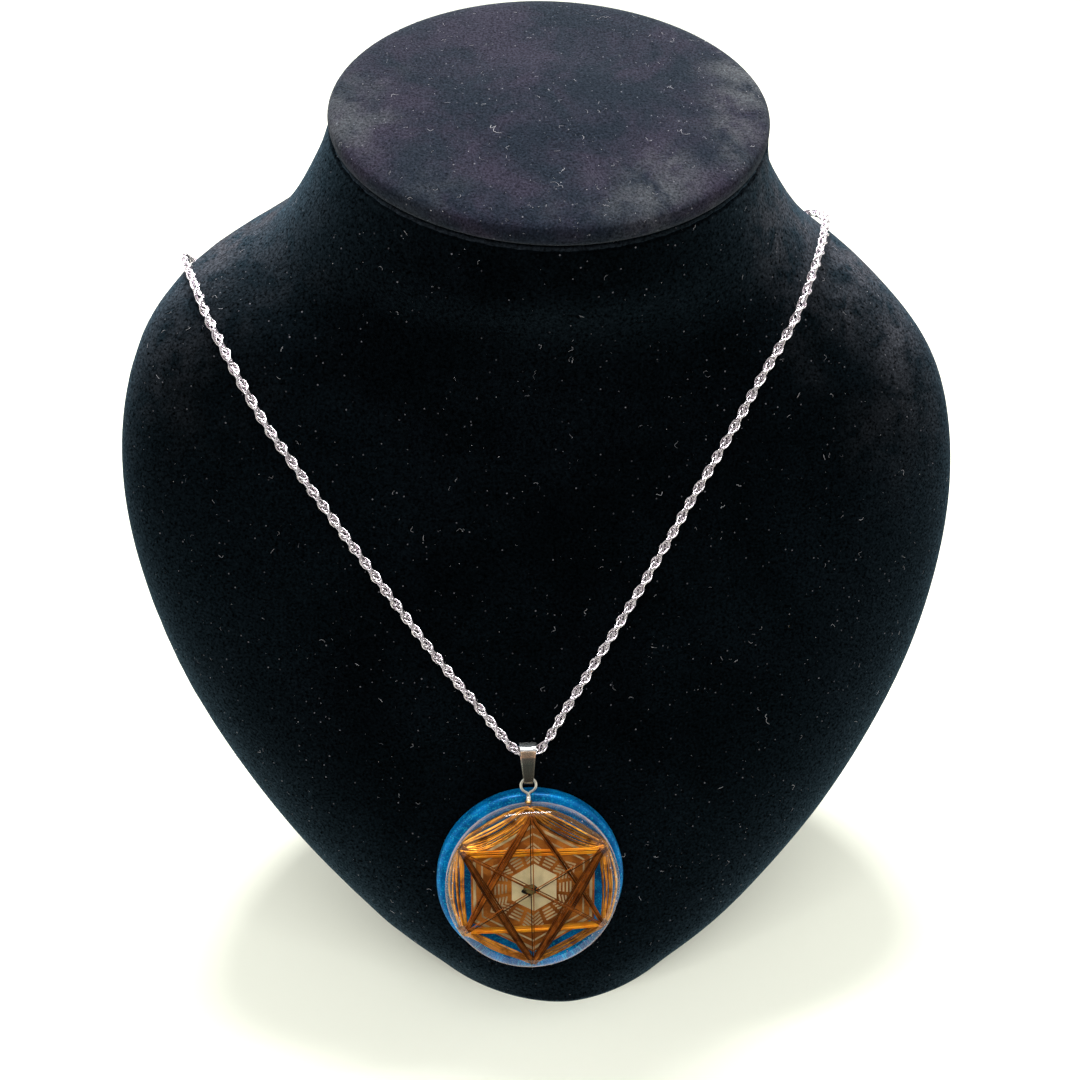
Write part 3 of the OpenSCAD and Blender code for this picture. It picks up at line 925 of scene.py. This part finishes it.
def makePlate(s):
    bm = hexBoard(s["radius"], 0, 0, s["low"], s["high"])
    bevelEdges(bm, bm.edges[:], s["bevel"], segments=2)
    material = patchyFinish("plateBrown", {"Roughness": 0.45, "Metallic": 0.25, "Specular IOR Level": 0.1},
                            s["brown"], s["umber"], {"Scale": 180.0, "Low": 0.38, "High": 0.62},
                            {"Scale": 2400.0, "Contrast": 0.6, "Height": 0.00003})
    dress(finishMesh("plateBoard", bm, pendantFrame), material, "plate", "pattern_plate")
    low, high = s["high"] - s["sunk"], s["lineHigh"]
    material = patchyFinish("plateCream", {"Roughness": 0.55, "Specular IOR Level": 0.1},
                            s["cream"], s["worn"], {"Scale": 150.0, "Low": 0.35, "High": 0.7})
    dress(finishMesh("plateLines", plateLines(s, low, high), pendantFrame), material, "plate")
    material = patchyFinish("platePale", {"Roughness": 0.5, "Specular IOR Level": 0.1},
                            s["pale"], s["stained"], {"Scale": 260.0, "Low": 0.3, "High": 0.7})
    bm = hexBoard(s["middle"], *s["middleAt"], low, high)
    dress(finishMesh("plateMiddle", bm, pendantFrame), material, "plate")


makePlate(plateLook)
print("plate made")


# copper windings

# Each tone: bright and dull colour, roughness and metallic share
copperTones = {
    "bright": ((1.0, 0.4, 0.012), (0.95, 0.27, 0.006), 0.4, 0.25),
    "copper": ((0.92, 0.4, 0.05), (0.42, 0.14, 0.014), 0.28, 0.66),
    "dark": ((0.5, 0.15, 0.018), (0.24, 0.06, 0.006), 0.38, 0.7)}
# Corners that the wires turn round, in mm
corners = {
    "top": (-0.6, 21.3), "upperLeft": (-18.5, 11.3), "upperRight": (18.2, 10.9), "lowerLeft": (-18.0, -11.6),
    "lowerRight": (18.9, -11.0), "bottom": (0.0, -21.6), "peak": (-0.6, 20.6), "rowLeft": (-18.6, 10.35),
    "rowRight": (18.4, 10.5)}
# Loose loops at the corners of the sides: corner, number, reach and height
tufts = [("upperLeft", 6, 1.5, 7.1), ("upperRight", 7, 1.7, 7.1), ("lowerLeft", 4, 1.3, 7.1),
         ("lowerRight", 3, 1.2, 7.1), ("top", 4, 1.3, 7.1)]
# Each piece: tone, wire radius, height, slot, the node that it stands for, its loose loops, and its runs of
# wire: two corners, number of wires, width at the start, middle and end, and bow
windingPieces = {
    "windingSides": ("copper", 0.22, 6.9, "copper", "winding_hexagon", tufts, [
        ("top", "upperLeft", 10, 2.4, 5.0, 1.6, -0.4), ("top", "upperRight", 10, 2.4, 4.8, 1.6, 0.0),
        ("upperLeft", "lowerLeft", 7, 1.2, 2.9, 1.0, 1.5),
        ("upperRight", "lowerRight", 7, 1.2, 2.9, 1.0, 1.4),
        ("bottom", "lowerLeft", 6, 1.4, 2.0, 1.0, 0.7), ("bottom", "lowerRight", 6, 1.4, 2.0, 1.0, 0.6)]),
    "windingRowTop": ("bright", 0.24, 7.8, "bright_copper", "winding_row_top", [], [
        ("rowLeft", "rowRight", 5, 1.4, 1.6, 1.4, 0.0)]),
    "windingRowBottom": ("bright", 0.24, 7.8, "bright_copper", "winding_row_bottom", [], [
        ("lowerLeft", "lowerRight", 5, 1.4, 1.5, 1.4, 0.5)]),
    "windingPeak": ("dark", 0.23, 8.4, "dark_copper", "winding_peak", [], [
        ("peak", "lowerLeft", 6, 0.9, 1.9, 0.9, 0.3), ("peak", "lowerRight", 4, 0.8, 1.3, 0.8, 0.4)]),
    "windingValley": ("dark", 0.23, 8.9, "dark_copper", "winding_valley", [], [
        ("bottom", "upperLeft", 6, 1.1, 1.9, 0.9, 0.3), ("bottom", "upperRight", 8, 1.4, 3.0, 1.4, 0.3)]),
    "crossWires": ("dark", 0.15, 9.35, "dark_copper", "cross_wires", [], [
        ("peak", "bottom", 2, 0.5, 0.6, 0.5, 0.0), ("upperLeft", "lowerRight", 3, 0.6, 1.1, 0.7, 0.0),
        ("upperRight", "lowerLeft", 2, 0.5, 0.7, 0.6, 0.0)])}
wireSetup = {
    "sides": 6, "steps": 14, "seed": 5, "stray": 0.25, "wander": 0.16, "lift": 0.25, "limit": 21.9,
    "shade": (0.18, 1.22)}
tuftSetup = {"long": (0.6, 1), "wide": (0.25, 0.6), "span": (3, 5.5), "shift": 0.4, "ripple": 0.4}


def copperFinish(tone):
    bright, dull, roughness, metal = copperTones[tone]
    material, tree, shader = newFinish(tone + "Copper", {
        "Metallic": metal, "Roughness": roughness, "Specular IOR Level": 0.12})
    patch = placeGroup(tree, clouds, {"Scale": 320.0, "Low": 0.38, "High": 0.62})["Mask"]
    fine = placeGroup(tree, grain, {"Scale": 4000.0, "Contrast": 0.4})["Shade"]
    colour = tinted(tree, mixColours(tree, patch, bright, dull), fine)
    setInputs(shader, {"Base Color": tinted(tree, colour, attributeOf(tree, "shade"))})
    return material


def addWire(bm, draw, points, radius):
    # one wire with its own shade, kept inside the clear resin
    inside = []
    for x, y, z in points:
        keep = min(1, wireSetup["limit"] / max(hypot(x, y), 0.01))
        inside.append((x * keep, y * keep, z))
    shade = bm.verts.layers.float.get("shade")
    first = len(bm.verts)
    sweepWire(bm, inside, radius, wireSetup["sides"])
    bm.verts.ensure_lookup_table()
    amount = draw.uniform(*wireSetup["shade"])
    for v in bm.verts[first:]:
        v[shade] = amount


def runWires(bm, draw, radius, start, end, count, widths, bow, height):
    # a bundle of wires side by side between two corners, each with its own small wander
    s = wireSetup
    start, end = Vector(start), Vector(end)
    way = (end - start).normalized()
    across = Vector((-way.y, way.x))
    if across.dot(start + end) < 0:
        across = -across
    for number in range(count):
        spread = number / max(count - 1, 1) - 0.5 + draw.uniform(-s["stray"], s["stray"]) / count
        wander, phase = draw.uniform(-1, 1) * s["wander"], draw.uniform(0, tau)
        lift = draw.uniform(-s["lift"], s["lift"])
        points = []
        for k in range(s["steps"] + 1):
            t = k / s["steps"]
            belly = sin(pi * t)
            edge = widths[0] * (1 - t) + widths[2] * t
            off = spread * (edge + (widths[1] - edge) * belly) + bow * belly
            off += wander * sin(tau * t + phase) * belly
            p = start.lerp(end, t) + across * off
            points.append((p.x, p.y, height + lift * belly))
        addWire(bm, draw, points, radius)


def addTuft(bm, draw, radius, at, count, reach, height):
    # loops and loose ends where the wires turn round a corner
    s, steps = tuftSetup, wireSetup["steps"]
    for number in range(count):
        turn = Matrix.Rotation(draw.uniform(0, pi), 2)
        long, wide = reach * draw.uniform(*s["long"]), reach * draw.uniform(*s["wide"])
        span, begin = draw.uniform(*s["span"]), draw.uniform(0, tau)
        shift = Vector((draw.uniform(-s["shift"], s["shift"]), draw.uniform(-s["shift"], s["shift"]))) * reach
        points = []
        for k in range(steps + 1):
            a = begin + span * k / steps
            p = Vector(at) + shift + turn @ Vector((long * cos(a), wide * sin(a)))
            points.append((p.x, p.y, height + s["ripple"] * sin(a + number)))
        addWire(bm, draw, points, radius)


def makeWindings():
    draw = random.Random(wireSetup["seed"])
    finishes = {tone: copperFinish(tone) for tone in copperTones}
    for name, (tone, radius, height, slot, node, loops, runs) in windingPieces.items():
        bm = bmesh.new()
        bm.verts.layers.float.new("shade")
        for start, end, count, *widths, bow in runs:
            runWires(bm, draw, radius, corners[start], corners[end], count, widths, bow, height)
        for corner, count, reach, up in loops:
            addTuft(bm, draw, radius, corners[corner], count, reach, up)
        dress(finishMesh(name, bm, pendantFrame, smooth=60), finishes[tone], slot, node)


makeWindings()
print("windings made")


# rough stone in the middle

# Lumps and grit: strength and scale of the noise that shapes it
stoneLook = {
    "at": (-0.6, 0.1, 8.95), "size": (2.3, 1.55, 0.85), "seed": 11, "cuts": 7, "reach": 0.84,
    "cutFrom": (-1, -1, -0.2), "lumps": (0.28, 1.6), "grit": (0.1, 5), "dark": (0.004, 0.004, 0.003),
    "olive": (0.15, 0.11, 0.03)}


def makeStone(s):
    bm = bmesh.new()
    bmesh.ops.create_icosphere(bm, subdivisions=4, radius=1.0)
    (lump, lumpScale), (grit, gritScale) = s["lumps"], s["grit"]
    aside = Vector((s["seed"], 0, 0))
    for v in bm.verts:
        v.co *= 1 + lump * noise.noise(v.co * lumpScale + aside) + grit * noise.noise(v.co * gritScale)
    draw = random.Random(s["seed"])
    for cut in range(s["cuts"]):
        # flat broken faces
        normal = Vector([draw.uniform(least, 1) for least in s["cutFrom"]]).normalized()
        flat = cutThrough(bm, normal * s["reach"], normal, clear_outer=True)
        bmesh.ops.edgeloop_fill(bm, edges=edgesIn(flat))
    place = pendantFrame @ moved(s["at"]) @ Matrix.Diagonal((*s["size"], 1))
    material = patchyFinish("stone", {"Roughness": 0.5, "Specular IOR Level": 0.15}, s["dark"], s["olive"],
                            {"Scale": 420.0, "Low": 0.48, "High": 0.6},
                            {"Scale": 3000.0, "Contrast": 0.8, "Height": 0.00005})
    dress(finishMesh("roughStone", bm, place, smooth=25), material, "stone", "centre_stone")


makeStone(stoneLook)
print("stone made")


# floor and light

# A lit table, so that the shadow stays pale and even
table = {
    "front": -0.17, "half": 1.5,
    "finish": {
        "Base Color": (0.72, 0.736, 0.636, 1), "Roughness": 0.7, "Specular IOR Level": 0.2,
        "Emission Strength": 0.3, "Emission Color": (0.9, 0.92, 0.79, 1)}}
# A bar overhead, a ring of bars in front, and an oval loop overhead that only shows as a reflection
lightSetup = {
    "overheadAt": (0.0, 0.92, 2.0), "overheadSize": (0.8, 0.09), "overheadPower": 74.0, "bars": 24,
    "ringAt": (-0.02, -0.22, 0.62), "ringLooksAt": (-0.0116, -0.06, 0.06), "ringRadius": 0.24,
    "ringWidth": 0.026, "ringPower": 0.06, "loopAt": (-0.007, 0.17, 0.615), "loopRadii": (0.24, 0.26),
    "loopWidth": (0.02, 0.13), "loopPower": 0.17, "loopArea": 0.003}
# White all round, with a dark patch in front that has a warm border: share from the border inwards, colour
worldSetup = {
    "strength": 0.8, "tones": [(0.0, (1, 1, 1)), (0.36, (0.62, 0.4, 0.25)), (0.62, (0.03, 0.032, 0.035))],
    "patchAt": (0, -0.995, 0.1), "patchEdge": (0.8, 0.95), "flatten": (1, 1, 0.55), "seen": 1.1}


def makeFloor(s):
    bm = bmesh.new()
    place = moved((0, s["half"] + s["front"], 0))
    bmesh.ops.create_grid(bm, x_segments=1, y_segments=1, size=s["half"], matrix=place)
    floor = finishMesh("floor", bm, smooth=0)
    floor.data.materials.append(newFinish("floor", s["finish"])[0])


def addArea(name, place, size, power):
    data = bpy.data.lights.new(name, "AREA")
    data.shape = "RECTANGLE"
    data.size, data.size_y = size
    data.energy = power
    lamp = addObject(name, data)
    lamp.matrix_world = place
    return lamp


def makeLights(s):
    over = Vector(s["overheadAt"])
    addArea("overhead", moved(over) @ aimed(-over, "-Z"), s["overheadSize"], s["overheadPower"])
    count, radius = s["bars"], s["ringRadius"]
    (wide, long), (narrow, broad) = s["loopRadii"], s["loopWidth"]
    ring = moved(s["ringAt"]) @ aimed(Vector(s["ringLooksAt"]) - Vector(s["ringAt"]), "-Z")
    ringSize = (s["ringWidth"], 2 * radius * tan(pi / count))
    for k in range(count):
        a = tau * k / count
        place = ring @ Matrix.Rotation(a, 4, "Z") @ moved((radius, 0, 0))
        addArea(f"ring{k}", place, ringSize, s["ringPower"]).visible_glossy = False
        at = Vector(s["loopAt"]) + Vector((wide * cos(a), long * sin(a), 0))
        way = Vector((-wide * sin(a), long * cos(a), 0))
        place = moved(at) @ Matrix.Rotation(atan2(way.y, way.x), 4, "Z")
        size = (way.length * tau / count, narrow + (broad - narrow) * abs(sin(a)))
        power = s["loopPower"] * size[0] * size[1] / s["loopArea"]
        addArea(f"loop{k}", place, size, power).visible_diffuse = False


def makeWorld(s):
    world = bpy.data.worlds.new("world")
    world.use_nodes = True
    tree = world.node_tree
    background = tree.nodes["Background"]
    way = addNode(tree, "TexCoord", {}).outputs["Generated"]
    flat = addNode(tree, "VectorMath", {0: way, 1: s["flatten"]}, operation="MULTIPLY").outputs[0]
    even = addNode(tree, "VectorMath", {0: flat}, operation="NORMALIZE").outputs[0]
    front = addNode(tree, "VectorMath", {0: even, 1: s["patchAt"]}, operation="DOT_PRODUCT")
    low, high = s["patchEdge"]
    limits = {"Value": front.outputs["Value"], "From Min": low, "From Max": high}
    near = addNode(tree, "MapRange", limits).outputs["Result"]
    setInputs(background, {"Color": rampColour(tree, near, s["tones"]), "Strength": s["strength"]})
    # the camera itself sees plain white behind the table
    seen = addNode(tree, "LightPath", {}).outputs["Is Camera Ray"]
    plain = addNode(tree, "Background", {"Color": (1, 1, 1, 1), "Strength": s["seen"]}).outputs[0]
    setInputs(tree.nodes["World Output"], {"Surface": mixShaders(tree, seen, background.outputs[0], plain)})
    scene.world = world


makeFloor(table)
makeLights(lightSetup)
makeWorld(worldSetup)
scene.view_settings.view_transform = "Standard"
print("light set")
